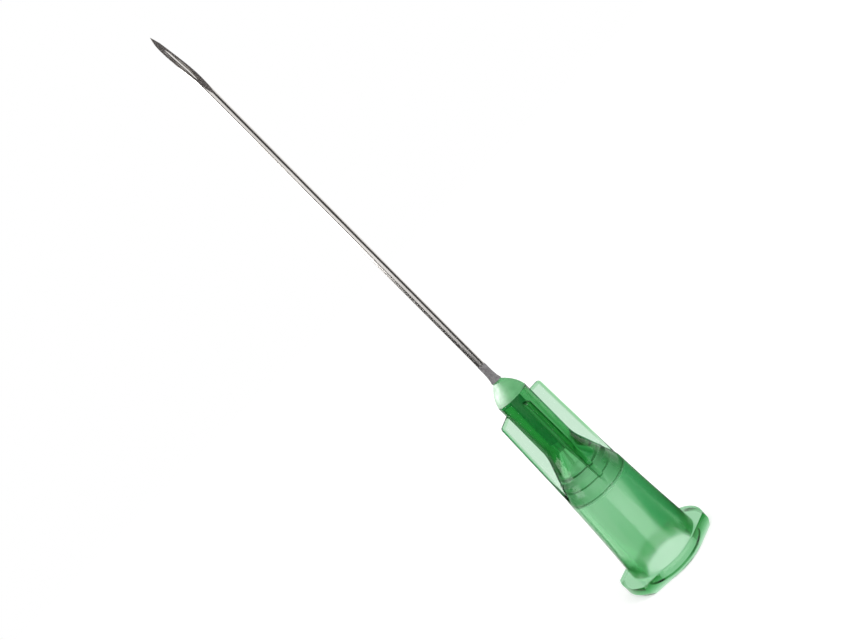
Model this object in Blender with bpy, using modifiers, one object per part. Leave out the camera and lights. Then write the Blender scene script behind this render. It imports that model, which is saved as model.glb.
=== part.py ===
"""Hypodermic needle: a moulded hub, a drawn steel cannula and the adhesive that joins them.

The needle stands on the open end of its hub. The axis is +Z, the origin is the middle of
the open end face, and the point is at the top.
"""
import math

import bmesh
import bpy
from mathutils import Matrix, Vector
from mathutils.geometry import intersect_line_line

MM = 0.001

# Cannula: drawn steel tube with a three-facet lancet point
CANNULA_DIAMETER = 0.60 * MM
CANNULA_BORE = 0.34 * MM
CANNULA_EXPOSED = 33.0 * MM
CANNULA_SEATED = 6.8 * MM
BEVEL_LENGTH = 5.6 * MM
BEVEL_FACING = math.radians(-76)
LANCET_ANGLE = math.radians(14)
LANCET_TURN = math.radians(35)

# Adhesive: a thin sleeve in the nose that ends in a matt collar round the cannula
GLUE_LAYER = 0.045 * MM
GLUE_DEPTH = 6.0 * MM
COLLAR_HEIGHT = 1.6 * MM
COLLAR_FLARE = 0.13 * MM
COLLAR_FILM = 0.02 * MM
COLLAR_CURVE = 4
FIT_CLEARANCE = 0.01 * MM

# Hub, outside: nose, neck, shoulder, barrel and rim
HUB_LENGTH = 17.95 * MM
NOSE_LIP = 0.04 * MM
NOSE_SPIGOT = 0.12 * MM
NOSE_LENGTH = 1.43 * MM
NOSE_START_SLOPE = 0.17
NECK_RADIUS = 1.29 * MM
NECK_LENGTH = 4.93 * MM
NECK_FILLET = 3.0 * MM
SHOULDER_LENGTH = 3.37 * MM
SHOULDER_FILLET = 1.5 * MM
BARREL_FRONT_RADIUS = 2.49 * MM
BARREL_BACK_RADIUS = 2.95 * MM
BARREL_SAG = 0.038 * MM
RIM_RADIUS = 3.08 * MM
RIM_THICKNESS = 0.96 * MM
RIM_EDGE = 0.10 * MM

# Hub, fins: the one towards -X starts a little lower, and its front edge leans back
FIN_COUNT = 4
FIN_THICKNESS = 0.42 * MM
FIN_FRONT_RADIUS = 2.245 * MM
FIN_SETBACK = 0.60 * MM
FIN_LENGTH = 8.85 * MM
FIN_ROOT_RADIUS = 0.80 * MM
FIN_CORNER = 0.26 * MM
FIN_EDGE = 0.17 * MM
LEANING_FIN = 2
LEANING_FIN_DROP = 0.12 * MM
LEANING_FIN_ANGLE = math.radians(20)

# Hub, two locking lugs: angles run round the rim from +X, and the open side is chamfered
LUG_SPAN = 7.80 * MM
LUG_CREST_START = math.radians(-25)
LUG_CREST_END = math.radians(30)
LUG_FOOT = math.radians(56)
LUG_CREST_THICKNESS = 0.62 * MM
LUG_CHAMFER_WIDTH = 0.50 * MM

# Hub, inside: tapered socket, stop steps, funnel and cannula seat
SOCKET_MOUTH = 4.30 * MM
SOCKET_TAPER = 0.06
SOCKET_DEPTH = 7.5 * MM
SOCKET_CHAMFER = 0.12 * MM
STOP_DIAMETER = 3.40 * MM
STOP_LENGTH = 0.90 * MM
CHAMBER_DIAMETER = 2.80 * MM
CHAMBER_LENGTH = 0.95 * MM
FUNNEL_DIAMETER = 2.20 * MM
FUNNEL_LENGTH = 1.80 * MM

ROUND_STEPS = 64
TUBE_STEPS = 32
ARC_STEPS = 5
OVERRUN = 1.0 * MM
MERGE_DISTANCE = 1e-7
SHARP_ANGLE = math.radians(30)

# Sizes that follow from the ones above
CANNULA_RADIUS = CANNULA_DIAMETER / 2
GLUE_BORE_RADIUS = CANNULA_RADIUS + GLUE_LAYER
NOSE_TIP_RADIUS = GLUE_BORE_RADIUS + NOSE_LIP
NOSE_TOP_Z = HUB_LENGTH - NOSE_SPIGOT
NECK_TOP_Z = NOSE_TOP_Z - NOSE_LENGTH
SHOULDER_TOP_Z = NECK_TOP_Z - NECK_LENGTH
BARREL_TOP_Z = SHOULDER_TOP_Z - SHOULDER_LENGTH
POINT_Z = HUB_LENGTH + CANNULA_EXPOSED
CANNULA_END_Z = HUB_LENGTH - CANNULA_SEATED


def clear_scene():
    for item in list(bpy.data.objects):
        bpy.data.objects.remove(item, do_unlink=True)


def new_collection(name):
    collection = bpy.data.collections.new(name)
    bpy.context.scene.collection.children.link(collection)
    return collection


def new_material(name, color, roughness, metallic=0.0, alpha=1.0):
    material = bpy.data.materials.new(name)
    material.use_nodes = True
    shader = material.node_tree.nodes["Principled BSDF"]
    shader.inputs["Base Color"].default_value = (*color, 1.0)
    shader.inputs["Roughness"].default_value = roughness
    shader.inputs["Metallic"].default_value = metallic
    shader.inputs["Alpha"].default_value = alpha
    return material


def fillet(before, corner, after, radius):
    """Points of the arc that rounds a profile's corner, tangent to both of its sides."""
    into = (corner - before).normalized()
    out = (after - corner).normalized()
    turn = into.angle(out)
    reach = radius * math.tan(turn / 2)
    start = corner - into * reach
    end = corner + out * reach
    centre = corner + (out - into).normalized() * (radius / math.cos(turn / 2))
    points = []
    for step in range(ARC_STEPS + 1):
        blend = step / ARC_STEPS
        direction = (start - centre).slerp(end - centre, blend)
        points.append(centre + direction.normalized() * radius)
    return points


def turned(name, profile, steps, collection, closed=False):
    """A turned solid from (radius, height) points, running down its outer side."""
    mesh = bpy.data.meshes.new(name)
    work = bmesh.new()
    verts = [work.verts.new((point[0], 0.0, point[1])) for point in profile]
    for first, second in zip(verts, verts[1:]):
        work.edges.new((first, second))
    if closed:
        work.edges.new((verts[-1], verts[0]))
    work.to_mesh(mesh)
    work.free()
    solid = bpy.data.objects.new(name, mesh)
    collection.objects.link(solid)
    screw = solid.modifiers.new("Turn", "SCREW")
    screw.steps = steps
    screw.render_steps = steps
    screw.use_merge_vertices = True
    screw.merge_threshold = MERGE_DISTANCE
    return solid


def plate(name, outline, thickness, collection):
    """A flat outline in X and Y, as thick as asked and centred on Z = 0, as a mesh."""
    curve = bpy.data.curves.new(name, "CURVE")
    curve.dimensions = "2D"
    curve.fill_mode = "BOTH"
    curve.extrude = thickness / 2
    spline = curve.splines.new("POLY")
    spline.points.add(len(outline) - 1)
    for target, (x, y) in zip(spline.points, outline):
        target.co = (x, y, 0.0, 1.0)
    spline.use_cyclic_u = True
    guide = bpy.data.objects.new(name + "_outline", curve)
    collection.objects.link(guide)
    bpy.context.view_layer.update()
    evaluated = guide.evaluated_get(bpy.context.evaluated_depsgraph_get())
    mesh = bpy.data.meshes.new_from_object(evaluated)
    bpy.data.objects.remove(guide, do_unlink=True)
    work = bmesh.new()
    work.from_mesh(mesh)
    bmesh.ops.remove_doubles(work, verts=work.verts, dist=MERGE_DISTANCE)
    bmesh.ops.recalc_face_normals(work, faces=work.faces)
    work.to_mesh(mesh)
    work.free()
    solid = bpy.data.objects.new(name, mesh)
    collection.objects.link(solid)
    return solid


def hide_cutter(cutter):
    cutter.hide_render = True
    cutter.display_type = "WIRE"


def combine(target, other, operation):
    modifier = target.modifiers.new(other.name, "BOOLEAN")
    modifier.operation = operation
    modifier.solver = "EXACT"
    modifier.object = other
    hide_cutter(other)


def shade_round(solid):
    solid.data.shade_smooth()
    solid.data.set_sharp_from_angle(angle=SHARP_ANGLE)


def nose_profile():
    """The nose swells from its tip to the neck along a parabola."""
    drop = NECK_RADIUS - NOSE_TIP_RADIUS - NOSE_START_SLOPE * NOSE_LENGTH
    points = []
    count = 2 * ARC_STEPS
    for step in range(count + 1):
        rise = NOSE_LENGTH * (1 - step / count)
        share = rise / NOSE_LENGTH
        radius = NECK_RADIUS - NOSE_START_SLOPE * rise - drop * share * share
        points.append(Vector((radius, NECK_TOP_Z + rise)))
    return points


def barrel_radius(height):
    """The barrel widens towards its rim, a little faster as it nears it."""
    share = (BARREL_TOP_Z - height) / (BARREL_TOP_Z - RIM_THICKNESS)
    straight = BARREL_FRONT_RADIUS + (BARREL_BACK_RADIUS - BARREL_FRONT_RADIUS) * share
    return straight - 4 * BARREL_SAG * share * (1 - share)


def barrel_profile():
    count = ARC_STEPS + 1
    heights = [BARREL_TOP_Z + (RIM_THICKNESS - BARREL_TOP_Z) * step / count for step in range(count + 1)]
    return [Vector((barrel_radius(height), height)) for height in heights]


def hub_profile():
    neck_top = Vector((NECK_RADIUS, NECK_TOP_Z))
    neck_end = Vector((NECK_RADIUS, SHOULDER_TOP_Z))
    barrel = barrel_profile()
    points = [Vector((0.0, HUB_LENGTH)), Vector((NOSE_TIP_RADIUS, HUB_LENGTH))]
    points += nose_profile()
    points += fillet(neck_top, neck_end, barrel[0], NECK_FILLET)
    points += fillet(neck_end, barrel[0], barrel[1], SHOULDER_FILLET)
    points += barrel[1:]
    points += [
        Vector((RIM_RADIUS, RIM_THICKNESS)),
        Vector((RIM_RADIUS, RIM_EDGE)),
        Vector((RIM_RADIUS - RIM_EDGE, 0.0)),
        Vector((0.0, 0.0)),
    ]
    return points


def socket_radius(height):
    return SOCKET_MOUTH / 2 - SOCKET_TAPER / 2 * height


def bore_profile():
    """The hollow from the nose down to the mouth, overrunning the hub at both ends."""
    stop_z = SOCKET_DEPTH + STOP_LENGTH
    chamber_z = stop_z + CHAMBER_LENGTH
    funnel_z = chamber_z + FUNNEL_LENGTH
    glue_z = HUB_LENGTH - GLUE_DEPTH
    seat_radius = CANNULA_RADIUS + FIT_CLEARANCE
    mouth_radius = socket_radius(0.0) + SOCKET_CHAMFER
    return [
        Vector((0.0, HUB_LENGTH + OVERRUN)),
        Vector((GLUE_BORE_RADIUS, HUB_LENGTH + OVERRUN)),
        Vector((GLUE_BORE_RADIUS, glue_z)),
        Vector((seat_radius, glue_z)),
        Vector((seat_radius, funnel_z)),
        Vector((FUNNEL_DIAMETER / 2, chamber_z)),
        Vector((CHAMBER_DIAMETER / 2, chamber_z)),
        Vector((CHAMBER_DIAMETER / 2, stop_z)),
        Vector((STOP_DIAMETER / 2, stop_z)),
        Vector((STOP_DIAMETER / 2, SOCKET_DEPTH)),
        Vector((socket_radius(SOCKET_DEPTH), SOCKET_DEPTH)),
        Vector((socket_radius(SOCKET_CHAMFER), SOCKET_CHAMFER)),
        Vector((mouth_radius, 0.0)),
        Vector((mouth_radius, -OVERRUN)),
        Vector((0.0, -OVERRUN)),
    ]


def make_fin(number, collection):
    """One fin, drawn with its length along X and its outer edge towards +Y, then stood up."""
    front_z = NECK_TOP_Z - FIN_SETBACK
    back_z = front_z - FIN_LENGTH
    back_radius = barrel_radius(back_z) - FIT_CLEARANCE
    lean = 0.0
    if number == LEANING_FIN:
        front_z -= LEANING_FIN_DROP
        lean = math.tan(LEANING_FIN_ANGLE)
    outer_back = Vector((back_z, back_radius))
    outer_front = Vector((front_z - lean * (FIN_FRONT_RADIUS - NECK_RADIUS), FIN_FRONT_RADIUS))
    root_front = Vector((front_z + lean * (NECK_RADIUS - FIN_ROOT_RADIUS), FIN_ROOT_RADIUS))
    corner = fillet(outer_back, outer_front, root_front, FIN_CORNER)
    outline = [Vector((back_z, FIN_ROOT_RADIUS)), outer_back] + corner + [root_front]
    fin = plate("fin_%d" % number, outline, FIN_THICKNESS, collection)
    turn = Matrix.Rotation(2 * math.pi * number / FIN_COUNT, 4, "Z")
    stand = Matrix(((0, 1, 0, 0), (0, 0, 1, 0), (1, 0, 0, 0), (0, 0, 0, 1)))
    fin.data.transform(turn @ stand)
    edge = fin.modifiers.new("Edge", "BEVEL")
    edge.width = FIN_EDGE
    edge.segments = 2
    edge.limit_method = "ANGLE"
    edge.use_clamp_overlap = True
    return fin


def polar(radius, angle):
    return Vector((radius * math.cos(angle), radius * math.sin(angle), 0.0))


def lug_outline():
    """Flanks of both lugs: one leaves the rim as a tangent, the other is steeper, and they meet outside."""
    crest = LUG_SPAN / 2
    tangent = polar(RIM_RADIUS, LUG_CREST_START - math.acos(RIM_RADIUS / crest))
    foot = polar(RIM_RADIUS, LUG_FOOT)
    peak = intersect_line_line(tangent, polar(crest, LUG_CREST_START), foot, polar(crest, LUG_CREST_END))[0]
    lug = [tangent.xy, peak.xy, foot.xy]
    return lug + [-point for point in lug]


def make_lugs(collection):
    """Both lugs are one plate through the rim, trimmed to the lug circle."""
    lugs = plate("lug_plate", lug_outline(), RIM_THICKNESS, collection)
    lugs.location.z = RIM_THICKNESS / 2
    crest = LUG_SPAN / 2
    chamfer_z = RIM_THICKNESS - LUG_CREST_THICKNESS
    circle = turned(
        "lug_circle",
        [
            Vector((0.0, RIM_THICKNESS + OVERRUN)),
            Vector((crest, RIM_THICKNESS + OVERRUN)),
            Vector((crest, chamfer_z)),
            Vector((crest - LUG_CHAMFER_WIDTH, 0.0)),
            Vector((crest - LUG_CHAMFER_WIDTH, -OVERRUN)),
            Vector((0.0, -OVERRUN)),
        ],
        ROUND_STEPS,
        collection,
    )
    combine(lugs, circle, "INTERSECT")
    return lugs


def make_hub(parts, cutters):
    hub = turned("hub", hub_profile(), ROUND_STEPS, parts)
    for number in range(FIN_COUNT):
        combine(hub, make_fin(number, cutters), "UNION")
    combine(hub, make_lugs(cutters), "UNION")
    bore = turned("bore", bore_profile(), ROUND_STEPS, cutters)
    combine(hub, bore, "DIFFERENCE")
    shade_round(hub)
    hub.data.materials.append(new_material("hub_plastic", (0.03, 0.30, 0.10), 0.25, alpha=0.85))
    return hub


def make_grind(name, facing, angle, cutters):
    """A block whose lower face is a ground facet through the point of the cannula."""
    reach = 3 * BEVEL_LENGTH
    bpy.ops.mesh.primitive_cube_add(size=2 * reach)
    block = bpy.context.object
    block.name = name
    for collection in list(block.users_collection):
        collection.objects.unlink(block)
    cutters.objects.link(block)
    back_wall = Matrix.Rotation(BEVEL_FACING, 3, "Z") @ Vector((-CANNULA_RADIUS, 0.0, 0.0))
    normal = Matrix.Rotation(facing, 3, "Z") @ Vector((math.cos(angle), 0.0, math.sin(angle)))
    block.rotation_mode = "QUATERNION"
    block.rotation_quaternion = normal.to_track_quat("Z", "Y")
    block.location = back_wall + Vector((0.0, 0.0, POINT_Z)) + normal * reach
    return block


def make_cannula(parts, cutters):
    wall = [
        Vector((CANNULA_RADIUS, POINT_Z)),
        Vector((CANNULA_RADIUS, CANNULA_END_Z)),
        Vector((CANNULA_BORE / 2, CANNULA_END_Z)),
        Vector((CANNULA_BORE / 2, POINT_Z)),
    ]
    cannula = turned("cannula", wall, TUBE_STEPS, parts, closed=True)
    bevel_angle = math.atan(CANNULA_DIAMETER / BEVEL_LENGTH)
    combine(cannula, make_grind("bevel_grind", BEVEL_FACING, bevel_angle, cutters), "DIFFERENCE")
    for side in (-1, 1):
        name = "lancet_grind_%s" % ("left" if side < 0 else "right")
        grind = make_grind(name, BEVEL_FACING + side * LANCET_TURN, LANCET_ANGLE, cutters)
        combine(cannula, grind, "DIFFERENCE")
    shade_round(cannula)
    cannula.data.materials.append(new_material("cannula_steel", (0.62, 0.60, 0.58), 0.18, metallic=1.0))
    return cannula


def collar_profile():
    """The collar thins from its flare at the nose to a film, and the sleeve fills the glue bore."""
    bottom = HUB_LENGTH + FIT_CLEARANCE
    film = CANNULA_RADIUS + FIT_CLEARANCE + COLLAR_FILM
    points = []
    count = 2 * ARC_STEPS
    for step in range(count + 1):
        share = 1 - step / count
        radius = film + (COLLAR_FLARE - FIT_CLEARANCE - COLLAR_FILM) * (1 - share) ** COLLAR_CURVE
        points.append(Vector((radius, bottom + COLLAR_HEIGHT * share)))
    return points


def make_adhesive(parts):
    inner = CANNULA_RADIUS + FIT_CLEARANCE
    sleeve = GLUE_BORE_RADIUS - FIT_CLEARANCE
    sleeve_end = HUB_LENGTH - GLUE_DEPTH + FIT_CLEARANCE
    profile = collar_profile()
    profile += [
        Vector((sleeve, HUB_LENGTH + FIT_CLEARANCE)),
        Vector((sleeve, sleeve_end)),
        Vector((inner, sleeve_end)),
        Vector((inner, profile[0][1])),
    ]
    adhesive = turned("adhesive_collar", profile, TUBE_STEPS, parts, closed=True)
    shade_round(adhesive)
    adhesive.data.materials.append(new_material("adhesive_grey", (0.22, 0.22, 0.22), 0.75))
    return adhesive


clear_scene()
needle = new_collection("hypodermic_needle")
cutters = new_collection("cutters")
make_hub(needle, cutters)
make_cannula(needle, cutters)
make_adhesive(needle)
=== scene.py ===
import math

import bmesh
import bpy
from mathutils import Matrix, Quaternion, Vector, noise


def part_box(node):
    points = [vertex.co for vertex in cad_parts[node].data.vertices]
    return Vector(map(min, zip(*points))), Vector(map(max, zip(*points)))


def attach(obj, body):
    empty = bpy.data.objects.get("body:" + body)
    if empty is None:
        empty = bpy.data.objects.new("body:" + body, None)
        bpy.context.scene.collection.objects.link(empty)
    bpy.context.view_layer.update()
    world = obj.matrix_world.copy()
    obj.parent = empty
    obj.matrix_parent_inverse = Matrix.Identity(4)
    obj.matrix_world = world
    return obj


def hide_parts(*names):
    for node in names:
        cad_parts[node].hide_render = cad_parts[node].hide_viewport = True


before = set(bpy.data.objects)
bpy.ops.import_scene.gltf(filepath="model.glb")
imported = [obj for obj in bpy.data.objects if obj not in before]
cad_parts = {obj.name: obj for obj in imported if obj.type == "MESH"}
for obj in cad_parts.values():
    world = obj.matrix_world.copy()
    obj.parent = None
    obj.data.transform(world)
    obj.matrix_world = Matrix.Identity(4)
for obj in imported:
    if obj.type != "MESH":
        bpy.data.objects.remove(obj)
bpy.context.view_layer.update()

# Camera: a close view from beside the standing needle, a little above its middle. It is rolled, so
# that the point lies at the upper left and the open end at the lower right.
MM = 0.001
CAMERA_PLACE = Vector((-15.47, -64.87, 30.87)) * MM
CAMERA_TARGET = Vector((-0.49, 0.0, 24.42)) * MM
CAMERA_ROLL = math.radians(-44.81)
CAMERA_LENS = 40.81
CAMERA_SENSOR = 36.0

camera = bpy.data.objects.new("camera", bpy.data.cameras.new("camera"))
bpy.context.scene.collection.objects.link(camera)
camera.data.lens = CAMERA_LENS
camera.data.sensor_width = CAMERA_SENSOR
camera.data.clip_start = 1 * MM
camera.location = CAMERA_PLACE
camera.rotation_mode = "QUATERNION"
level = (CAMERA_TARGET - CAMERA_PLACE).to_track_quat("-Z", "Y")
camera.rotation_quaternion = level @ Quaternion((0, 0, 1), CAMERA_ROLL)
bpy.context.scene.camera = camera


# Hub: one injection moulding in translucent green polypropylene. The nose, neck, shoulder, barrel,
# rim, locking lugs and four fins come from one cavity, and a core pin forms the tapered socket,
# its stop steps and the funnel that leads to the cannula.
hub_low, hub_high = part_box("hub")
HUB_LENGTH = hub_high.z
LUG_SPAN = hub_high.x - hub_low.x
RIM_RADIUS = hub_high.y
RIM_THICKNESS = 0.96 * MM
RIM_EDGE = 0.10 * MM
NOSE_SPIGOT = 0.12 * MM
NOSE_TIP_RADIUS = 0.385 * MM
NOSE_LENGTH = 1.43 * MM
NOSE_START_SLOPE = 0.17
NOSE_EDGE = 0.05 * MM
NECK_RADIUS = 1.29 * MM
NECK_LENGTH = 4.93 * MM
NECK_FILLET = 3.0 * MM
SHOULDER_LENGTH = 3.37 * MM
SHOULDER_FILLET = 1.5 * MM
BARREL_FRONT_RADIUS = 2.49 * MM
BARREL_BACK_RADIUS = 2.95 * MM
BARREL_SAG = 0.038 * MM
FIN_COUNT = 4
FIN_THICKNESS = 0.42 * MM
FIN_FRONT_RADIUS = 2.245 * MM
FIN_SETBACK = 0.60 * MM
FIN_LENGTH = 8.85 * MM
FIN_ROOT_RADIUS = 0.80 * MM
FIN_CORNER = 0.26 * MM
FIN_EDGE = 0.17 * MM
FIN_BORDER = 0.27 * MM
FIN_BORDER_FULL = 0.162 * MM
FIN_BORDER_START = 0.0645 * MM
FIN_SINK = 0.01 * MM
LEANING_FIN = 2
LEANING_FIN_DROP = 0.12 * MM
LEANING_FIN_ANGLE = math.radians(20)
PARTING_WIDTH = 0.08 * MM
PARTING_HEIGHT = 0.015 * MM
PARTING_END_Z = 4.6 * MM
LUG_CREST_START = math.radians(-25)
LUG_CREST_END = math.radians(30)
LUG_FOOT = math.radians(56)
LUG_CREST_THICKNESS = 0.62 * MM
LUG_CHAMFER_WIDTH = 0.22 * MM
SOCKET_MOUTH = 4.30 * MM
SOCKET_TAPER = 0.06
SOCKET_DEPTH = 7.5 * MM
SOCKET_CHAMFER = 0.12 * MM
STOP_DIAMETER = 3.40 * MM
STOP_LENGTH = 0.90 * MM
CHAMBER_DIAMETER = 2.80 * MM
CHAMBER_LENGTH = 0.95 * MM
FUNNEL_DIAMETER = 2.20 * MM
FUNNEL_LENGTH = 1.80 * MM
CORE_EDGE = 0.10 * MM
SEAM_GAP = 0.002 * MM
GLUE_BORE_RADIUS = 0.335 * MM
GLUE_DEPTH = 6.0 * MM
SEAT_RADIUS = 0.29 * MM
ROUND_STEPS = 192
OVERRUN = 1.0 * MM
MERGE_DISTANCE = 1e-7
HUB_SHARP_ANGLE = math.radians(25)
NOSE_STEPS = 24
BARREL_STEPS = 16
FILLET_STEPS = 12
CORNER_STEPS = 8
RIM_EDGE_STEPS = 5
NECK_EDGE_STEPS = 4
CORE_EDGE_STEPS = 3
FIN_EDGE_STEPS = 6
PARTING_STEPS = 8
FLAT_FACE_WEIGHT = 100
GRAIN_LOW = 0.3
GRAIN_HIGH = 0.7
NECK_TOP_Z = HUB_LENGTH - NOSE_SPIGOT - NOSE_LENGTH
SHOULDER_TOP_Z = NECK_TOP_Z - NECK_LENGTH
BARREL_TOP_Z = SHOULDER_TOP_Z - SHOULDER_LENGTH


def arc(before, corner, after, radius, count):
    """Points of the arc that rounds a profile's corner, tangent to both of its sides."""
    into = (corner - before).normalized()
    out = (after - corner).normalized()
    turn = into.angle(out)
    reach = radius * math.tan(turn / 2)
    start = corner - into * reach
    end = corner + out * reach
    centre = corner + (out - into).normalized() * (radius / math.cos(turn / 2))
    points = []
    for step in range(count + 1):
        direction = (start - centre).slerp(end - centre, step / count)
        points.append(centre + direction.normalized() * radius)
    return points


def object_from(name, work):
    """A piece in the scene, from a mesh that is still being worked on."""
    mesh = bpy.data.meshes.new(name)
    bmesh.ops.recalc_face_normals(work, faces=work.faces)
    work.to_mesh(mesh)
    work.free()
    piece = bpy.data.objects.new(name, mesh)
    bpy.context.scene.collection.objects.link(piece)
    return piece


def turned(name, profile, steps, closed=False):
    """A turned solid from (radius, height) points."""
    work = bmesh.new()
    verts = [work.verts.new((radius, 0.0, height)) for radius, height in profile]
    edges = [work.edges.new(pair) for pair in zip(verts, verts[1:])]
    if closed:
        edges.append(work.edges.new((verts[-1], verts[0])))
    bmesh.ops.spin(
        work, geom=verts + edges, axis=(0, 0, 1), cent=(0, 0, 0),
        angle=2 * math.pi, steps=steps, use_merge=True,
    )
    bmesh.ops.remove_doubles(work, verts=work.verts, dist=MERGE_DISTANCE)
    return object_from(name, work)


def plate(name, outline, thickness):
    """A flat outline in X and Y, as thick as asked and centred on Z = 0."""
    work = bmesh.new()
    floor_face = work.faces.new([work.verts.new((x, y, -thickness / 2)) for x, y in outline])
    raised = bmesh.ops.extrude_face_region(work, geom=[floor_face])
    top = [item for item in raised["geom"] if isinstance(item, bmesh.types.BMVert)]
    bmesh.ops.translate(work, verts=top, vec=(0, 0, thickness))
    return object_from(name, work)


def settle(piece):
    """Makes the piece's modifiers part of its mesh."""
    bpy.context.view_layer.update()
    evaluated = piece.evaluated_get(bpy.context.evaluated_depsgraph_get())
    piece.data = bpy.data.meshes.new_from_object(evaluated)
    piece.modifiers.clear()


def combined(target, *steps):
    """Applies Boolean steps, each an operation and a solid, and removes the solids."""
    for operation, solid in steps:
        cut = target.modifiers.new(solid.name, "BOOLEAN")
        cut.operation = operation
        cut.solver = "EXACT"
        cut.object = solid
    settle(target)
    for operation, solid in steps:
        bpy.data.objects.remove(solid, do_unlink=True)
    return target


def shade_round(piece, angle):
    """Rounds the shading, and keeps wide flat faces flat up to their rounded edges."""
    piece.data.shade_smooth()
    piece.data.set_sharp_from_angle(angle=angle)
    flat = piece.modifiers.new("flat_faces", "WEIGHTED_NORMAL")
    flat.keep_sharp = True
    flat.weight = FLAT_FACE_WEIGHT
    settle(piece)


def nose():
    """The satin nose swells from its tip to the neck along a parabola, round the glued bore."""
    base_radius = NECK_RADIUS - NOSE_EDGE / 2
    drop = base_radius - NOSE_TIP_RADIUS - NOSE_START_SLOPE * NOSE_LENGTH
    bottom = NECK_TOP_Z + SEAM_GAP
    profile = [Vector((NOSE_TIP_RADIUS, HUB_LENGTH))]
    for step in range(NOSE_STEPS + 1):
        share = 1 - step / NOSE_STEPS
        radius = base_radius - NOSE_START_SLOPE * NOSE_LENGTH * share - drop * share * share
        profile.append(Vector((radius, bottom + NOSE_LENGTH * share)))
    profile += [Vector((GLUE_BORE_RADIUS, bottom)), Vector((GLUE_BORE_RADIUS, HUB_LENGTH))]
    return turned("hub_nose", profile, ROUND_STEPS, closed=True)


def barrel_radius(height):
    """The barrel widens towards its rim, a little faster as it nears it."""
    share = (BARREL_TOP_Z - height) / (BARREL_TOP_Z - RIM_THICKNESS)
    straight = BARREL_FRONT_RADIUS + (BARREL_BACK_RADIUS - BARREL_FRONT_RADIUS) * share
    return straight - 4 * BARREL_SAG * share * (1 - share)


def hub_profile():
    """The outside of the moulding, from the end of its neck down to the open end."""
    neck_middle = Vector((0.0, NECK_TOP_Z))
    neck_top = Vector((NECK_RADIUS, NECK_TOP_Z))
    neck_end = Vector((NECK_RADIUS, SHOULDER_TOP_Z))
    spacing = (RIM_THICKNESS - BARREL_TOP_Z) / BARREL_STEPS
    heights = [BARREL_TOP_Z + spacing * step for step in range(BARREL_STEPS + 1)]
    barrel = [Vector((barrel_radius(height), height)) for height in heights]
    points = [neck_middle] + arc(neck_middle, neck_top, neck_end, NOSE_EDGE, NECK_EDGE_STEPS)
    points += arc(neck_top, neck_end, barrel[0], NECK_FILLET, FILLET_STEPS)
    points += arc(neck_end, barrel[0], barrel[1], SHOULDER_FILLET, FILLET_STEPS)
    points += barrel[1:]
    rim_front = Vector((RIM_RADIUS, RIM_THICKNESS))
    rim_back = Vector((RIM_RADIUS, 0.0))
    points += arc(barrel[-1], rim_front, rim_back, RIM_EDGE / 4, CORE_EDGE_STEPS)
    points += arc(rim_front, rim_back, Vector((0.0, 0.0)), RIM_EDGE, RIM_EDGE_STEPS)
    points.append(Vector((0.0, 0.0)))
    return points


def socket_radius(height):
    """The socket narrows from its mouth by the standard taper."""
    return SOCKET_MOUTH / 2 - SOCKET_TAPER / 2 * height


def core_profile():
    """The hollow from the nose down to the mouth, overrunning the hub at both ends."""
    stop_z = SOCKET_DEPTH + STOP_LENGTH
    chamber_z = stop_z + CHAMBER_LENGTH
    funnel_z = chamber_z + FUNNEL_LENGTH
    glue_z = HUB_LENGTH - GLUE_DEPTH
    mouth_radius = socket_radius(0.0) + SOCKET_CHAMFER
    corners = [
        Vector((0.0, HUB_LENGTH + OVERRUN)),
        Vector((GLUE_BORE_RADIUS, HUB_LENGTH + OVERRUN)),
        Vector((GLUE_BORE_RADIUS, glue_z)),
        Vector((SEAT_RADIUS, glue_z)),
        Vector((SEAT_RADIUS, funnel_z)),
        Vector((FUNNEL_DIAMETER / 2, chamber_z)),
        Vector((CHAMBER_DIAMETER / 2, chamber_z)),
        Vector((CHAMBER_DIAMETER / 2, stop_z)),
        Vector((STOP_DIAMETER / 2, stop_z)),
        Vector((STOP_DIAMETER / 2, SOCKET_DEPTH)),
        Vector((socket_radius(SOCKET_DEPTH), SOCKET_DEPTH)),
        Vector((socket_radius(SOCKET_CHAMFER), SOCKET_CHAMFER)),
        Vector((mouth_radius, 0.0)),
        Vector((mouth_radius, -OVERRUN)),
        Vector((0.0, -OVERRUN)),
    ]
    rounded = corners[5:11]
    points = corners[:5]
    for before, corner, after in zip(corners[4:], rounded, corners[6:]):
        points += arc(before, corner, after, CORE_EDGE, CORE_EDGE_STEPS)
    return points + corners[11:]


def fin(number):
    """One fin, drawn with its length along X and its outer edge towards +Y, then stood up."""
    front_z = NECK_TOP_Z - FIN_SETBACK
    back_z = front_z - FIN_LENGTH
    lean = 0.0
    if number == LEANING_FIN:
        front_z -= LEANING_FIN_DROP
        lean = math.tan(LEANING_FIN_ANGLE)
    outer_back = Vector((back_z, barrel_radius(back_z) - FIN_SINK))
    outer_front = Vector((front_z - lean * (FIN_FRONT_RADIUS - NECK_RADIUS), FIN_FRONT_RADIUS))
    root_front = Vector((front_z + lean * (NECK_RADIUS - FIN_ROOT_RADIUS), FIN_ROOT_RADIUS))
    corner = arc(outer_back, outer_front, root_front, FIN_CORNER, CORNER_STEPS)
    outline = [Vector((back_z, FIN_ROOT_RADIUS)), outer_back] + corner + [root_front]
    blade = plate("fin_%d" % number, outline, FIN_THICKNESS)
    turn = Matrix.Rotation(2 * math.pi * number / FIN_COUNT, 4, "Z")
    stand = Matrix(((0, 1, 0, 0), (0, 0, 1, 0), (1, 0, 0, 0), (0, 0, 0, 1)))
    blade.data.transform(turn @ stand)
    edge = blade.modifiers.new("fin_edge", "BEVEL")
    edge.width = FIN_EDGE
    edge.segments = FIN_EDGE_STEPS
    edge.limit_method = "ANGLE"
    return blade


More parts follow.
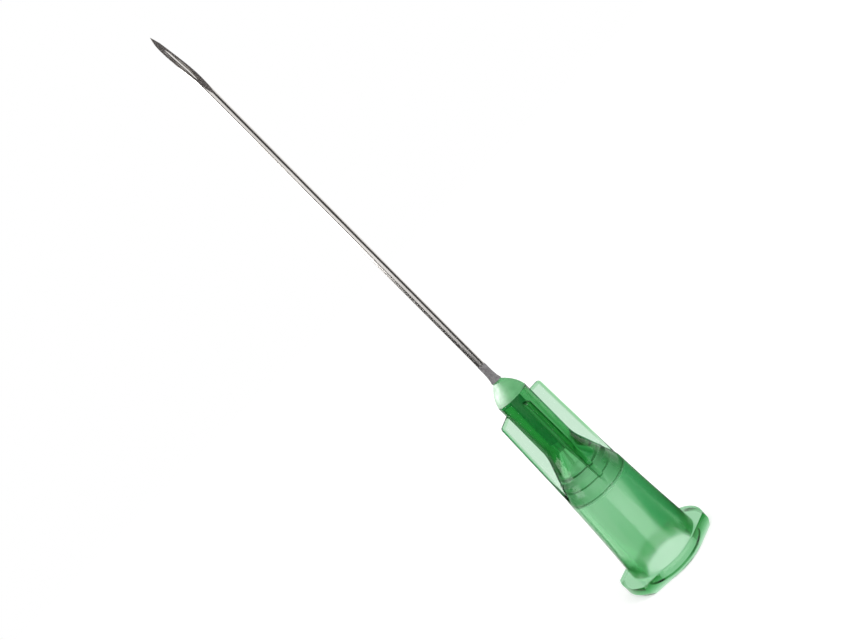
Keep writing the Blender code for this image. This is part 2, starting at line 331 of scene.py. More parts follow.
def parting_ridge():
    """The fine ridge where the mould's halves met: down two fins and on along the barrel."""
    front_z = NECK_TOP_Z - FIN_SETBACK - FIN_CORNER
    back_z = NECK_TOP_Z - FIN_SETBACK - FIN_LENGTH
    spacing = (PARTING_END_Z - back_z) / PARTING_STEPS
    heights = [back_z + spacing * step for step in range(PARTING_STEPS + 1)]
    side = [(front_z, FIN_FRONT_RADIUS + PARTING_HEIGHT)]
    side += [(height, barrel_radius(height) + PARTING_HEIGHT) for height in heights]
    outline = side + [(height, -radius) for height, radius in reversed(side)]
    ridge = plate("parting_ridge", outline, PARTING_WIDTH)
    stand = Matrix(((0, 0, 1, 0), (0, 1, 0, 0), (1, 0, 0, 0), (0, 0, 0, 1)))
    ridge.data.transform(stand)
    return ridge


def polar(radius, angle):
    """A point in the plane, at a distance and an angle from the axis."""
    return Vector((radius * math.cos(angle), radius * math.sin(angle)))


def crossing(first, second, third, fourth):
    """Where the line through two points meets the line through two others, in the plane."""
    along = second - first
    other = fourth - third
    gap = third - first
    share = (gap.x * other.y - gap.y * other.x) / (along.x * other.y - along.y * other.x)
    return first + along * share


def lugs():
    """Both lugs are one plate through the rim, trimmed to the circle that they lock in."""
    crest = LUG_SPAN / 2
    tangent = polar(RIM_RADIUS, LUG_CREST_START - math.acos(RIM_RADIUS / crest))
    foot = polar(RIM_RADIUS, LUG_FOOT)
    peak = crossing(tangent, polar(crest, LUG_CREST_START), foot, polar(crest, LUG_CREST_END))
    lug = [tangent, peak, foot]
    blank = plate("lugs", lug + [-point for point in lug], RIM_THICKNESS)
    blank.data.transform(Matrix.Translation((0, 0, RIM_THICKNESS / 2)))
    chamfer_z = RIM_THICKNESS - LUG_CREST_THICKNESS
    trim = [
        (0.0, RIM_THICKNESS + OVERRUN),
        (crest, RIM_THICKNESS + OVERRUN),
        (crest, chamfer_z),
        (crest - LUG_CHAMFER_WIDTH, 0.0),
        (crest - LUG_CHAMFER_WIDTH, -OVERRUN),
        (0.0, -OVERRUN),
    ]
    return combined(blank, ("INTERSECT", turned("lug_circle", trim, ROUND_STEPS)))


hub = turned("hub_moulding", hub_profile(), ROUND_STEPS)
joined = [("UNION", fin(number)) for number in range(FIN_COUNT)]
joined.append(("UNION", parting_ridge()))
joined.append(("UNION", lugs()))
joined.append(("DIFFERENCE", turned("core_pin", core_profile(), ROUND_STEPS)))
combined(hub, *joined)
shade_round(hub, HUB_SHARP_ANGLE)
hub_nose = nose()
shade_round(hub_nose, HUB_SHARP_ANGLE)


def grain_group():
    """Uneven grain, round or drawn out along the needle: a value from 0 to 1."""
    group = bpy.data.node_groups.new("grain", "ShaderNodeTree")
    group.interface.new_socket("Across", in_out="INPUT", socket_type="NodeSocketFloat")
    group.interface.new_socket("Along", in_out="INPUT", socket_type="NodeSocketFloat")
    group.interface.new_socket("Detail", in_out="INPUT", socket_type="NodeSocketFloat")
    group.interface.new_socket("Value", in_out="OUTPUT", socket_type="NodeSocketFloat")
    given = group.nodes.new("NodeGroupInput")
    result = group.nodes.new("NodeGroupOutput")
    place = group.nodes.new("ShaderNodeTexCoord")
    scale = group.nodes.new("ShaderNodeCombineXYZ")
    stretch = group.nodes.new("ShaderNodeVectorMath")
    stretch.operation = "MULTIPLY"
    cloud = group.nodes.new("ShaderNodeTexNoise")
    cloud.inputs["Scale"].default_value = 1.0
    spread = group.nodes.new("ShaderNodeMapRange")
    spread.inputs["From Min"].default_value = GRAIN_LOW
    spread.inputs["From Max"].default_value = GRAIN_HIGH
    links = group.links
    links.new(given.outputs["Across"], scale.inputs["X"])
    links.new(given.outputs["Across"], scale.inputs["Y"])
    links.new(given.outputs["Along"], scale.inputs["Z"])
    links.new(place.outputs["Object"], stretch.inputs[0])
    links.new(scale.outputs[0], stretch.inputs[1])
    links.new(stretch.outputs[0], cloud.inputs["Vector"])
    links.new(given.outputs["Detail"], cloud.inputs["Detail"])
    links.new(cloud.outputs["Fac"], spread.inputs["Value"])
    links.new(spread.outputs["Result"], result.inputs["Value"])
    return group


GRAIN = grain_group()


def new_material(name, metallic=0.0):
    """A plain material to build on, with its shader."""
    material = bpy.data.materials.new(name)
    material.use_nodes = True
    shader = material.node_tree.nodes["Principled BSDF"]
    shader.inputs["Metallic"].default_value = metallic
    return material, shader


def add_grain(material, across, along, detail=2.0):
    """The grain in one material, with its counts for each metre across and along the needle."""
    node = material.node_tree.nodes.new("ShaderNodeGroup")
    node.node_tree = GRAIN
    node.inputs["Across"].default_value = across
    node.inputs["Along"].default_value = along
    node.inputs["Detail"].default_value = detail
    return node.outputs["Value"]


def add_colors(material, value, low, high):
    """The low colour where the value is 0, the high one where it is 1, and a blend between."""
    ramp = material.node_tree.nodes.new("ShaderNodeValToRGB")
    for element, color in zip(ramp.color_ramp.elements, (low, high)):
        element.color = (*color, 1.0)
    material.node_tree.links.new(value, ramp.inputs["Fac"])
    return ramp.outputs["Color"]


def add_range(material, value, low, high):
    """A number from low to high, as the value runs from 0 to 1."""
    node = material.node_tree.nodes.new("ShaderNodeMapRange")
    node.inputs["To Min"].default_value = low
    node.inputs["To Max"].default_value = high
    material.node_tree.links.new(value, node.inputs["Value"])
    return node.outputs["Result"]


def add_bump(material, value, depth):
    """Raises the surface by up to the given depth in metres where the value is 1."""
    bump = material.node_tree.nodes.new("ShaderNodeBump")
    bump.inputs["Strength"].default_value = 1.0
    bump.inputs["Distance"].default_value = depth
    material.node_tree.links.new(value, bump.inputs["Height"])
    return bump.outputs["Normal"]


def add_step(material, value, start, end):
    """0 up to the start and 1 from the end, with a soft step between them."""
    node = material.node_tree.nodes.new("ShaderNodeMapRange")
    node.interpolation_type = "SMOOTHSTEP"
    node.inputs["From Min"].default_value = start
    node.inputs["From Max"].default_value = end
    material.node_tree.links.new(value, node.inputs["Value"])
    return node.outputs["Result"]


def add_math(material, operation, *values):
    """A calculation with other nodes' values and plain numbers."""
    node = material.node_tree.nodes.new("ShaderNodeMath")
    node.operation = operation
    for socket, value in zip(node.inputs, values):
        if isinstance(value, float):
            socket.default_value = value
        else:
            material.node_tree.links.new(value, socket)
    return node.outputs[0]


def add_mix(material, share, first, second):
    """The first colour where the share is 0, and the plain second colour where it is 1."""
    node = material.node_tree.nodes.new("ShaderNodeMix")
    node.data_type = "RGBA"
    color_inputs = [socket for socket in node.inputs if socket.type == "RGBA"]
    material.node_tree.links.new(share, node.inputs[0])
    material.node_tree.links.new(first, color_inputs[0])
    color_inputs[1].default_value = (*second, 1.0)
    return [socket for socket in node.outputs if socket.type == "RGBA"][0]


def add_place(material):
    """The surface's X, its height, its distance from the needle's axis, and how far up it faces."""
    nodes = material.node_tree.nodes
    links = material.node_tree.links
    place = nodes.new("ShaderNodeTexCoord")
    split = nodes.new("ShaderNodeSeparateXYZ")
    links.new(place.outputs["Object"], split.inputs[0])
    flat = nodes.new("ShaderNodeCombineXYZ")
    links.new(split.outputs["X"], flat.inputs["X"])
    links.new(split.outputs["Y"], flat.inputs["Y"])
    length = nodes.new("ShaderNodeVectorMath")
    length.operation = "LENGTH"
    links.new(flat.outputs[0], length.inputs[0])
    facing = nodes.new("ShaderNodeSeparateXYZ")
    links.new(place.outputs["Normal"], facing.inputs[0])
    return {
        "x": split.outputs["X"],
        "height": split.outputs["Z"],
        "radius": length.outputs["Value"],
        "facing": facing.outputs["Z"],
    }


def edge_shade_share(material):
    """1 on the outer and front borders of the fins, where a darker green is painted on as painted shade at
    their edges.
    """
    place = add_place(material)
    height = place["height"]
    radius = place["radius"]
    front_z = NECK_TOP_Z - FIN_SETBACK
    slope = (barrel_radius(front_z - FIN_LENGTH) - FIN_FRONT_RADIUS) / FIN_LENGTH
    outward = add_math(material, "MULTIPLY_ADD", height, slope, -FIN_FRONT_RADIUS - slope * front_z)
    outward = add_math(material, "ADD", radius, outward)
    outer = add_step(material, outward, -FIN_BORDER, -FIN_BORDER_FULL)
    outer = add_math(material, "MULTIPLY", outer, add_step(material, height, BARREL_TOP_Z, SHOULDER_TOP_Z))
    lean = math.tan(LEANING_FIN_ANGLE)
    set_back = add_math(material, "MULTIPLY_ADD", radius, lean, LEANING_FIN_DROP - lean * NECK_RADIUS)
    leaning = add_math(material, "LESS_THAN", place["x"], -NECK_RADIUS)
    forward = add_math(material, "MULTIPLY_ADD", leaning, set_back, height)
    front = add_step(material, forward, front_z - FIN_BORDER, front_z - FIN_BORDER_FULL)
    on_fin = add_step(material, radius, NECK_RADIUS, NECK_RADIUS + FIN_BORDER_START)
    return add_math(material, "MAXIMUM", outer, add_math(material, "MULTIPLY", front, on_fin))


RIM_SLANTED = 0.5
RIM_UPRIGHT = 0.2


def rim_shade_share(material):
    """1 on the outer walls of the rim and the lugs, which are painted a darker green as painted shade."""
    place = add_place(material)
    outside = add_step(material, place["radius"], RIM_RADIUS - RIM_EDGE, RIM_RADIUS - RIM_EDGE / 2)
    slant = add_math(material, "ABSOLUTE", place["facing"])
    upright = add_step(material, slant, RIM_SLANTED, RIM_UPRIGHT)
    return add_math(material, "MULTIPLY", outside, upright)


def stop_share(material):
    """1 on the stop steps in the socket, where the core pin is matt and leaves the plastic so."""
    place = add_place(material)
    inside = add_step(material, place["radius"], SOCKET_MOUTH / 2, SOCKET_MOUTH / 2 - CORE_EDGE / 2)
    low_z = SOCKET_DEPTH - 2 * CORE_EDGE
    high_z = SOCKET_DEPTH + STOP_LENGTH + CHAMBER_LENGTH + CORE_EDGE
    above = add_step(material, place["height"], low_z, low_z + CORE_EDGE)
    below = add_step(material, place["height"], high_z + CORE_EDGE, high_z)
    return add_math(material, "MULTIPLY", inside, add_math(material, "MULTIPLY", above, below))


PLASTIC_PALE = (0.93, 0.98, 0.94)
PLASTIC_PALEST = (0.98, 1.0, 0.98)
# Painted shade: the darker green painted on the fins' borders.
EDGE_SHADE_GREEN = (0.50, 0.77, 0.53)
# Painted shade: the darker green painted on the rim's outer walls.
RIM_SHADE_GREEN = (0.40, 0.72, 0.46)
PLASTIC_TINT = (0.125, 0.667, 0.27)
PLASTIC_TINT_DENSITY = 1200.0
PLASTIC_IOR = 1.49
PLASTIC_SHEEN = 0.5
STOP_ROUGHNESS = 0.6


def hub_plastic():
    """Clear green polypropylene: thin walls look pale, and the solid neck looks dark."""
    material, shader = new_material("hub_plastic")
    links = material.node_tree.links
    mottle = add_grain(material, across=900, along=450)
    clear = add_colors(material, mottle, PLASTIC_PALE, PLASTIC_PALEST)
    # Painted shade: a darker green painted on the fins' borders and on the rim's outer walls.
    edge_shaded = add_mix(material, edge_shade_share(material), clear, EDGE_SHADE_GREEN)
    links.new(add_mix(material, rim_shade_share(material), edge_shaded, RIM_SHADE_GREEN), shader.inputs["Base Color"])
    shader.inputs["Specular Tint"].default_value = (PLASTIC_SHEEN, PLASTIC_SHEEN, PLASTIC_SHEEN, 1.0)
    matt = add_range(material, stop_share(material), low=0.0, high=STOP_ROUGHNESS)
    glossy = add_range(material, mottle, low=0.12, high=0.20)
    links.new(add_math(material, "MAXIMUM", glossy, matt), shader.inputs["Roughness"])
    waves = add_grain(material, across=700, along=300)
    links.new(add_bump(material, waves, depth=0.004 * MM), shader.inputs["Normal"])
    shader.inputs["Transmission Weight"].default_value = 1.0
    shader.inputs["IOR"].default_value = PLASTIC_IOR
    tint = material.node_tree.nodes.new("ShaderNodeVolumeAbsorption")
    tint.inputs["Color"].default_value = (*PLASTIC_TINT, 1.0)
    tint.inputs["Density"].default_value = PLASTIC_TINT_DENSITY
    output = material.node_tree.nodes["Material Output"]
    links.new(tint.outputs["Volume"], output.inputs["Volume"])
    return material


NOSE_GREEN = (0.10, 0.37, 0.14)
NOSE_PALE_GREEN = (0.14, 0.43, 0.18)
NOSE_TRANSMISSION = 0.15


def nose_satin():
    """The same plastic where the mould is spark-eroded: a matt skin that scatters the light."""
    material, shader = new_material("nose_satin")
    links = material.node_tree.links
    mottle = add_grain(material, across=2500, along=2500, detail=4.0)
    links.new(add_colors(material, mottle, NOSE_GREEN, NOSE_PALE_GREEN), shader.inputs["Base Color"])
    links.new(add_range(material, mottle, low=0.62, high=0.78), shader.inputs["Roughness"])
    sparks = add_grain(material, across=12000, along=12000, detail=4.0)
    links.new(add_bump(material, sparks, depth=0.006 * MM), shader.inputs["Normal"])
    shader.inputs["Transmission Weight"].default_value = NOSE_TRANSMISSION
    shader.inputs["IOR"].default_value = PLASTIC_IOR
    return material


hub.data.materials.append(hub_plastic())
hub_nose.data.materials.append(nose_satin())
for moulded in (hub, hub_nose):
    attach(moulded, "root")
    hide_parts("hub")


# Cannula: one drawn stainless steel tube, electropolished, with a lancet point. The point has a long
# primary bevel and two side facets that are ground in turn and meet in the sharp tip.
cannula_low, cannula_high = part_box("cannula")
POINT_Z = cannula_high.z
CANNULA_RADIUS = 0.30 * MM
CANNULA_BORE_RADIUS = 0.17 * MM
CANNULA_END_Z = cannula_low.z
BEVEL_LENGTH = 5.6 * MM
BEVEL_FACING = math.radians(-76)
LANCET_ANGLE = math.radians(14)
LANCET_TURN = math.radians(35)
TIP_BEND = 0.16 * MM
TIP_BEND_LENGTH = 4.3 * MM
TIP_BEND_DONE = 0.8 * MM
TUBE_STEPS = 128
TUBE_SHARP_ANGLE = math.radians(5)
FACET_SLOPE = 0.08
POINT_STEPS = 24
STEEL_GREY = (0.66, 0.63, 0.60)
STEEL_PALE_GREY = (0.82, 0.79, 0.76)
GROUND_GREY = (0.48, 0.44, 0.42)
GROUND_PALE_GREY = (0.62, 0.57, 0.55)
# Painted light: the green painted on the steel where it is sunk in the hub.
SUNK_STEEL_PAINTED_LIGHT = (0.16, 0.50, 0.26)
SUNK_EDGE = 0.1 * MM


def grind(name, facing, angle):
    """A block whose lower face is a ground facet through the point of the cannula."""
    reach = 3 * BEVEL_LENGTH
    work = bmesh.new()
    bmesh.ops.create_cube(work, size=2 * reach)
    back_wall = Matrix.Rotation(BEVEL_FACING, 3, "Z") @ Vector((-CANNULA_RADIUS, 0.0, 0.0))
    normal = Matrix.Rotation(facing, 3, "Z") @ Vector((math.cos(angle), 0.0, math.sin(angle)))
    place = back_wall + Vector((0.0, 0.0, POINT_Z)) + normal * reach
    turn = normal.to_track_quat("Z", "Y").to_matrix().to_4x4()
    bmesh.ops.transform(work, matrix=Matrix.Translation(place) @ turn, verts=work.verts)
    return object_from(name, work)


def cannula_tube():
    """The tube has rings along its point, so that the bend there is a smooth one."""
    bend_start = POINT_Z - TIP_BEND_LENGTH
    spacing = TIP_BEND_LENGTH / POINT_STEPS
    rings = [POINT_Z - spacing * step for step in range(POINT_STEPS + 1)]
    wall = [(CANNULA_RADIUS, height) for height in rings]
    wall += [(CANNULA_RADIUS, CANNULA_END_Z), (CANNULA_BORE_RADIUS, CANNULA_END_Z)]
    wall += [(CANNULA_BORE_RADIUS, height) for height in reversed(rings)]
    tube = turned("cannula_tube", wall, TUBE_STEPS, closed=True)
    facets = [("bevel_grind", BEVEL_FACING, math.atan(2 * CANNULA_RADIUS / BEVEL_LENGTH))]
    for side in (-1, 1):
        facets.append(("lancet_grind_%d" % side, BEVEL_FACING + side * LANCET_TURN, LANCET_ANGLE))
    combined(tube, *[("DIFFERENCE", grind(*facet)) for facet in facets])
    for vertex in tube.data.vertices:
        share = (vertex.co.z - bend_start) / (TIP_BEND_LENGTH - TIP_BEND_DONE)
        share = min(max(share, 0.0), 1.0)
        vertex.co.x -= TIP_BEND * share * share * (3 - 2 * share)
    return tube


def ground_steel():
    """The facets of the point, where the wheel left fine lines across the bevel."""
    material, shader = new_material("ground_steel", metallic=1.0)
    links = material.node_tree.links
    ground = add_grain(material, across=6000, along=30000)
    links.new(add_colors(material, ground, GROUND_GREY, GROUND_PALE_GREY), shader.inputs["Base Color"])
    links.new(add_range(material, ground, low=0.34, high=0.46), shader.inputs["Roughness"])
    return material


def mark_facets(tube):
    """Gives the ground facets the second material: they cut the tube's wall at a slant."""
    for face in tube.data.polygons:
        if face.center.z > POINT_Z - BEVEL_LENGTH and face.normal.z > FACET_SLOPE:
            face.material_index = 1


def sunk_painted_light_share(material):
    """1 where a piece is sunk in the hub, where it is painted, as painted light, the green that light takes
    on through the plastic.
    """
    return add_step(material, add_place(material)["height"], HUB_LENGTH, HUB_LENGTH - SUNK_EDGE)


def cannula_steel():
    """Bright drawn steel with fine lines along the tube."""
    material, shader = new_material("cannula_steel", metallic=1.0)
    links = material.node_tree.links
    patches = add_grain(material, across=900, along=160)
    bright = add_colors(material, patches, STEEL_GREY, STEEL_PALE_GREY)
    # Painted light: the steel sunk in the hub is painted the green that light takes on through the plastic.
    tinted = add_mix(material, sunk_painted_light_share(material), bright, SUNK_STEEL_PAINTED_LIGHT)
    links.new(tinted, shader.inputs["Base Color"])
    drawn = add_grain(material, across=22000, along=250)
    links.new(add_range(material, drawn, low=0.10, high=0.24), shader.inputs["Roughness"])
    links.new(add_bump(material, drawn, depth=0.0006 * MM), shader.inputs["Normal"])
    return material


cannula = cannula_tube()
shade_round(cannula, TUBE_SHARP_ANGLE)
cannula.data.materials.append(cannula_steel())
cannula.data.materials.append(ground_steel())
mark_facets(cannula)
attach(cannula, "root")
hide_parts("cannula")


# Adhesive: the cured grey resin that bonds the cannula in the hub. It fills the wider end of the bore,
# stands on the nose as a small flare and thins out along the tube, and its surface is matt and uneven.
collar_low, collar_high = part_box("adhesive_collar")
COLLAR_TOP_Z = collar_high.z
COLLAR_FLARE_RADIUS = collar_high.x
COLLAR_FILM_RADIUS = 0.302 * MM
COLLAR_CURVE = 4
COLLAR_STEPS = 96
COLLAR_RAGGED = 0.5 * MM
COLLAR_LUMPS = 0.012 * MM
SLEEVE_RADIUS = 0.345 * MM
COLLAR_INNER_RADIUS = 0.295 * MM
COLLAR_SINK = 0.01 * MM
COLLAR_RINGS = 28
RAGGED_WAVES = 1.7
LUMP_WAVES = 1.5
LUMP_DRIFT = 3.0
RESIN_GREY = (0.15, 0.14, 0.145)
RESIN_PALE_GREY = (0.30, 0.29, 0.295)
# Painted light: the bright green painted on the resin where it is sunk in the hub.
SUNK_RESIN_PAINTED_LIGHT = (0.15, 0.62, 0.32)
RESIN_SHEEN = 0.2


def roughened(sleeve, bottom):
    """Draws the thin upper edge down unevenly, and gives the flare a few soft lumps."""
    for vertex in sleeve.data.vertices:
        height = vertex.co.z - bottom
        radius = vertex.co.xy.length
        if height < 0 or radius < CANNULA_RADIUS:
            continue
        share = height / (COLLAR_TOP_Z - bottom)
        around = Vector((vertex.co.x, vertex.co.y, 0.0)) / radius
        vertex.co.z -= COLLAR_RAGGED * share * abs(noise.noise(around * RAGGED_WAVES))
        spot = around * LUMP_WAVES + Vector((0.0, 0.0, share * LUMP_DRIFT))
        lump = COLLAR_LUMPS * (1 - share) * noise.noise(spot)
        vertex.co.xy *= 1 - abs(lump) / radius
    return sleeve


def collar():
    """A turned sleeve with a flare that thins out to nothing along the tube."""
    bottom = HUB_LENGTH - COLLAR_SINK
    profile = []
    for step in range(COLLAR_RINGS + 1):
        share = step / COLLAR_RINGS
        radius = COLLAR_FILM_RADIUS + (COLLAR_FLARE_RADIUS - COLLAR_FILM_RADIUS) * share ** COLLAR_CURVE
        profile.append((radius, COLLAR_TOP_Z + (bottom - COLLAR_TOP_Z) * share))
    profile += [
        (SLEEVE_RADIUS, bottom),
        (SLEEVE_RADIUS, collar_low.z),
        (COLLAR_INNER_RADIUS, collar_low.z),
        (COLLAR_INNER_RADIUS, COLLAR_TOP_Z),
    ]
    return roughened(turned("adhesive_bead", profile, COLLAR_STEPS, closed=True), bottom)


def adhesive_resin():
    """Matt grey resin with a fine uneven grain."""
    material, shader = new_material("adhesive_resin")
    links = material.node_tree.links
    grain = add_grain(material, across=9000, along=5000, detail=4.0)
    grey = add_colors(material, grain, RESIN_GREY, RESIN_PALE_GREY)
    # Painted light: where it is sunk in the hub, the grey resin is painted the green that light takes on
    # through the plastic.
    links.new(add_mix(material, sunk_painted_light_share(material), grey, SUNK_RESIN_PAINTED_LIGHT), shader.inputs["Base Color"])
    links.new(add_range(material, grain, low=0.55, high=0.85), shader.inputs["Roughness"])
    links.new(add_bump(material, grain, depth=0.012 * MM), shader.inputs["Normal"])
    shader.inputs["Specular IOR Level"].default_value = RESIN_SHEEN
    return material


adhesive = collar()
shade_round(adhesive, HUB_SHARP_ANGLE)
adhesive.data.materials.append(adhesive_resin())
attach(adhesive, "root")
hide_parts("adhesive_collar")


# Floor and room: a plain white table top in a white room. Softboxes light the needle. Dark cards that only
# mirrors see are painted dark reflections, which give the steel its two dark lines; bright glowing sheets on
# the table that only mirrors see are painted reflections, which give the barrel its pale band and its mouth
# a glow; and two glowing cards behind the needle, seen only through the plastic, are painted light and
# painted green shade.
FLOOR_SIZE = 2.0
FLOOR_COLOR = 0.85
FLOOR_LIFT = 0.45
ROOM_LIGHT = 0.7
# Glows of the cards: painted dark reflections and painted reflections that only mirrors see, and painted
# light and painted green shade seen only through the plastic.
DARK_REFLECTION_CARD = (0.07, 0.07, 0.07)
SHADE_THROUGH_GLASS_CARD = (0.25, 0.62, 0.42)
LIGHT_THROUGH_GLASS_CARD = (1.3, 1.3, 1.3)
BRIGHT_REFLECTION_CARD = (5.5, 5.5, 5.5)
SIDE_REFLECTION_CARD = (2.0, 2.0, 2.0)
CARD_DISTANCE = 150.0 * MM
CARD_HEIGHT = 300.0 * MM
CARD_STEPS = 24
CARD_NEAR_ANGLE = math.radians(32)
CARD_FAR_ANGLE = math.radians(95)
CARD_LEFT_ANGLE = math.radians(125)
WHITE_CARD_END = math.radians(150)
GREEN_CARD_START = math.radians(112)
GREEN_CARD_END = math.radians(167)
SHEET_INNER = 5.0 * MM
SHEET_LIFT = 0.1 * MM
STRIP_LENGTH = 30.0 * MM
STRIP_START = math.radians(-12)
STRIP_END = math.radians(34)
SIDE_START = math.radians(-115)
SIDE_END = math.radians(-48)
FOOT_LENGTH = 9.5 * MM
FOOT_START = math.radians(-55)
FOOT_END = math.radians(60)
SHADE_LENGTH = 60.0 * MM
SHADE_END = math.radians(160)
PATCH_SETBACK = 5.0 * MM
PATCH_LOW = 30.0 * MM
PATCH_HIGH = 110.0 * MM
PATCH_START = math.radians(-125)
PATCH_END = math.radians(-60)
LAMP_TARGET = Vector((0.0, 0.0, 20.0)) * MM
KEY_PLACE = Vector((-260.0, -120.0, 160.0)) * MM
SIDE_PLACE = Vector((180.0, -220.0, 170.0)) * MM
SHEEN_PLACE = Vector((-209.0, 95.0, 210.0)) * MM
LIGHT_BOUNCES = 32


def seen_by(nodes, links, *kinds):
    """1 for the kinds of ray that are named, and otherwise 0."""
    path = nodes.new("ShaderNodeLightPath")
    seen = path.outputs[kinds[0]]
    for kind in kinds[1:]:
        total = nodes.new("ShaderNodeMath")
        total.operation = "ADD"
        total.use_clamp = True
        links.new(seen, total.inputs[0])
        links.new(path.outputs[kind], total.inputs[1])
        seen = total.outputs[0]
    return seen


def floor():
    """White paint that is lifted to pure white for the camera, and is plain white in mirrors and glass."""
    work = bmesh.new()
    bmesh.ops.create_grid(work, x_segments=1, y_segments=1, size=FLOOR_SIZE / 2)
    table = object_from("floor", work)
    material = bpy.data.materials.new("floor_white")
    material.use_nodes = True
    nodes = material.node_tree.nodes
    links = material.node_tree.links
    nodes.remove(nodes["Principled BSDF"])
    paint = nodes.new("ShaderNodeBsdfDiffuse")
    paint.inputs["Color"].default_value = (FLOOR_COLOR, FLOOR_COLOR, FLOOR_COLOR, 1.0)
    lift = nodes.new("ShaderNodeEmission")
    amount = nodes.new("ShaderNodeMath")
    amount.operation = "MULTIPLY"
    amount.inputs[1].default_value = FLOOR_LIFT
    links.new(seen_by(nodes, links, "Is Camera Ray"), amount.inputs[0])
    links.new(amount.outputs[0], lift.inputs["Strength"])
    lifted = nodes.new("ShaderNodeAddShader")
    links.new(paint.outputs[0], lifted.inputs[0])
    links.new(lift.outputs[0], lifted.inputs[1])
    plain = nodes.new("ShaderNodeEmission")
    either = nodes.new("ShaderNodeMixShader")
    links.new(seen_by(nodes, links, "Is Glossy Ray", "Is Transmission Ray"), either.inputs["Fac"])
    links.new(lifted.outputs[0], either.inputs[1])
    links.new(plain.outputs[0], either.inputs[2])
    links.new(either.outputs[0], nodes["Material Output"].inputs["Surface"])
    material.cycles.emission_sampling = "NONE"
    table.data.materials.append(material)
    return table


def bent_card(name, start, end, section, color, in_glass=False):
    """A glowing card bent round the needle that is seen only in mirrors, or only through glass."""
    facing = math.atan2(CAMERA_PLACE.y, CAMERA_PLACE.x)
    work = bmesh.new()
    rows = []
    for step in range(CARD_STEPS + 1):
        angle = facing + start + (end - start) * step / CARD_STEPS
        around = Vector((math.cos(angle), math.sin(angle), 0.0))
        rows.append([work.verts.new(around * radius + Vector((0, 0, height))) for radius, height in section])
    for before, after in zip(rows, rows[1:]):
        for low in range(len(section) - 1):
            work.faces.new((before[low], before[low + 1], after[low + 1], after[low]))
    card = object_from(name, work)
    material = bpy.data.materials.new(name + "_paper")
    material.use_nodes = True
    nodes = material.node_tree.nodes
    nodes.remove(nodes["Principled BSDF"])
    paper = nodes.new("ShaderNodeEmission")
    paper.inputs["Color"].default_value = (*color, 1.0)
    material.node_tree.links.new(paper.outputs[0], nodes["Material Output"].inputs["Surface"])
    material.cycles.emission_sampling = "NONE"
    card.data.materials.append(material)
    card.visible_camera = False
    card.visible_diffuse = False
    card.visible_shadow = False
    card.visible_glossy = not in_glass
    card.visible_transmission = in_glass
    return card


def room():
    """White all round for the eye, mirrors and glass, and a little less on matt surfaces."""
    world = bpy.data.worlds.new("room")
    world.use_nodes = True
    nodes = world.node_tree.nodes
    links = world.node_tree.links
    background = nodes["Background"]
    background.inputs["Color"].default_value = (1.0, 1.0, 1.0, 1.0)
    strength = nodes.new("ShaderNodeMapRange")
    strength.inputs["To Min"].default_value = ROOM_LIGHT
    strength.inputs["To Max"].default_value = 1.0
    eyes = seen_by(nodes, links, "Is Camera Ray", "Is Glossy Ray", "Is Transmission Ray")
    links.new(eyes, strength.inputs["Value"])
    links.new(strength.outputs["Result"], background.inputs["Strength"])
    bpy.context.scene.world = world


def softbox(name, place, width, watts, sheen_of=None):
    """A square lamp that lights matt surfaces, or one that only gives a single piece its sheen."""
    lamp = bpy.data.lights.new(name, "AREA")
    lamp.shape = "SQUARE"
    lamp.size = width
    lamp.energy = watts
    box = bpy.data.objects.new(name, lamp)
    bpy.context.scene.collection.objects.link(box)
    box.location = place
    box.rotation_mode = "QUATERNION"
    box.rotation_quaternion = (LAMP_TARGET - place).to_track_quat("-Z", "Y")
    box.visible_camera = False
    box.visible_transmission = False
    box.visible_glossy = sheen_of is not None
    box.visible_diffuse = sheen_of is None
    if sheen_of is not None:
        lit = bpy.data.collections.new(name + "_lights")
        lit.objects.link(sheen_of)
        box.light_linking.receiver_collection = lit


floor()
sheet = [(SHEET_INNER, SHEET_LIFT), (CARD_DISTANCE, SHEET_LIFT)]
screen = sheet + [(CARD_DISTANCE, CARD_HEIGHT)]
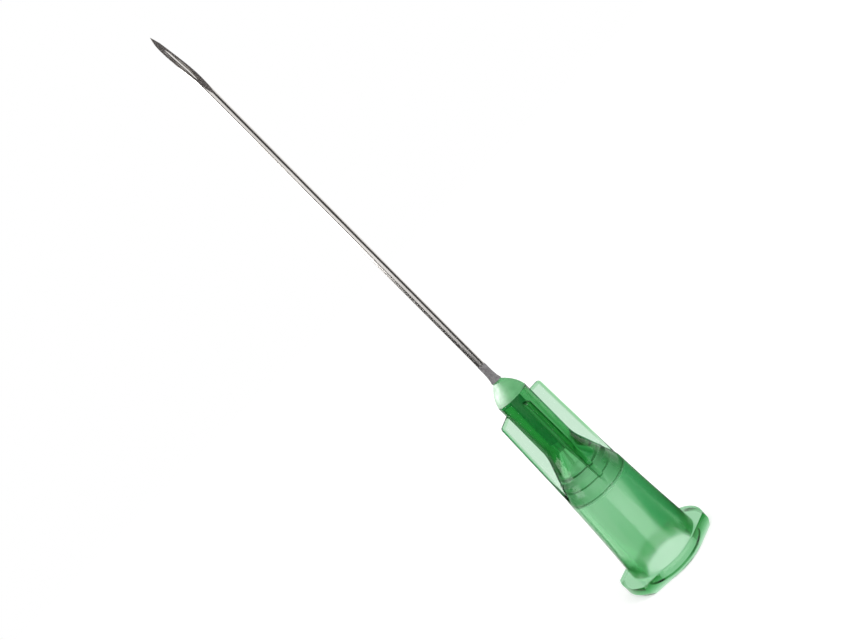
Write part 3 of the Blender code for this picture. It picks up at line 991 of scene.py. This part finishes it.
# Painted dark reflection: a dark sheet in front that only mirrors see.
bent_card("card_front", -CARD_NEAR_ANGLE, CARD_NEAR_ANGLE, sheet, DARK_REFLECTION_CARD)
shade = [(SHEET_INNER, 2 * SHEET_LIFT), (SHADE_LENGTH, 2 * SHEET_LIFT)]
strip = [(FOOT_LENGTH, 2 * SHEET_LIFT), (STRIP_LENGTH, 2 * SHEET_LIFT)]
foot = [(SHEET_INNER, 2 * SHEET_LIFT), (FOOT_LENGTH, 2 * SHEET_LIFT)]
patch = [(CARD_DISTANCE - PATCH_SETBACK, PATCH_LOW), (CARD_DISTANCE - PATCH_SETBACK, PATCH_HIGH)]
# Painted dark reflection: a dark sheet to the side on the table that only mirrors see.
bent_card("card_shade", CARD_FAR_ANGLE, SHADE_END, shade, DARK_REFLECTION_CARD)
# Painted reflections and a painted highlight: glowing sheets and a patch that only mirrors see, for the
# barrel's pale band, its mouth's glow and the shoulder.
bent_card("card_strip", STRIP_START, STRIP_END, strip, BRIGHT_REFLECTION_CARD)
bent_card("card_side", SIDE_START, SIDE_END, strip, SIDE_REFLECTION_CARD)
bent_card("card_foot", FOOT_START, FOOT_END, foot, BRIGHT_REFLECTION_CARD)
bent_card("card_patch", PATCH_START, PATCH_END, patch, BRIGHT_REFLECTION_CARD)
# Painted dark reflections: dark screens beside the camera that only mirrors see.
bent_card("card_left", -CARD_LEFT_ANGLE, -CARD_NEAR_ANGLE, screen, DARK_REFLECTION_CARD)
bent_card("card_right", CARD_NEAR_ANGLE, CARD_FAR_ANGLE, screen, DARK_REFLECTION_CARD)
# Painted light and painted shade: a white card and a green card behind the needle, seen only through the
# plastic, make one side of the hub paler and the other a darker green.
bent_card("card_white", -WHITE_CARD_END, -CARD_FAR_ANGLE, screen, LIGHT_THROUGH_GLASS_CARD, in_glass=True)
bent_card("card_green", GREEN_CARD_START, GREEN_CARD_END, screen, SHADE_THROUGH_GLASS_CARD, in_glass=True)
room()
softbox("key_softbox", KEY_PLACE, width=200 * MM, watts=0.15)
softbox("side_softbox", SIDE_PLACE, width=120 * MM, watts=0.3)
softbox("sheen_softbox", SHEEN_PLACE, width=160 * MM, watts=12.0, sheen_of=hub_nose)

bpy.context.scene.view_settings.view_transform = "Standard"
bpy.context.scene.cycles.max_bounces = LIGHT_BOUNCES
bpy.context.scene.cycles.glossy_bounces = LIGHT_BOUNCES
bpy.context.scene.cycles.transmission_bounces = LIGHT_BOUNCES
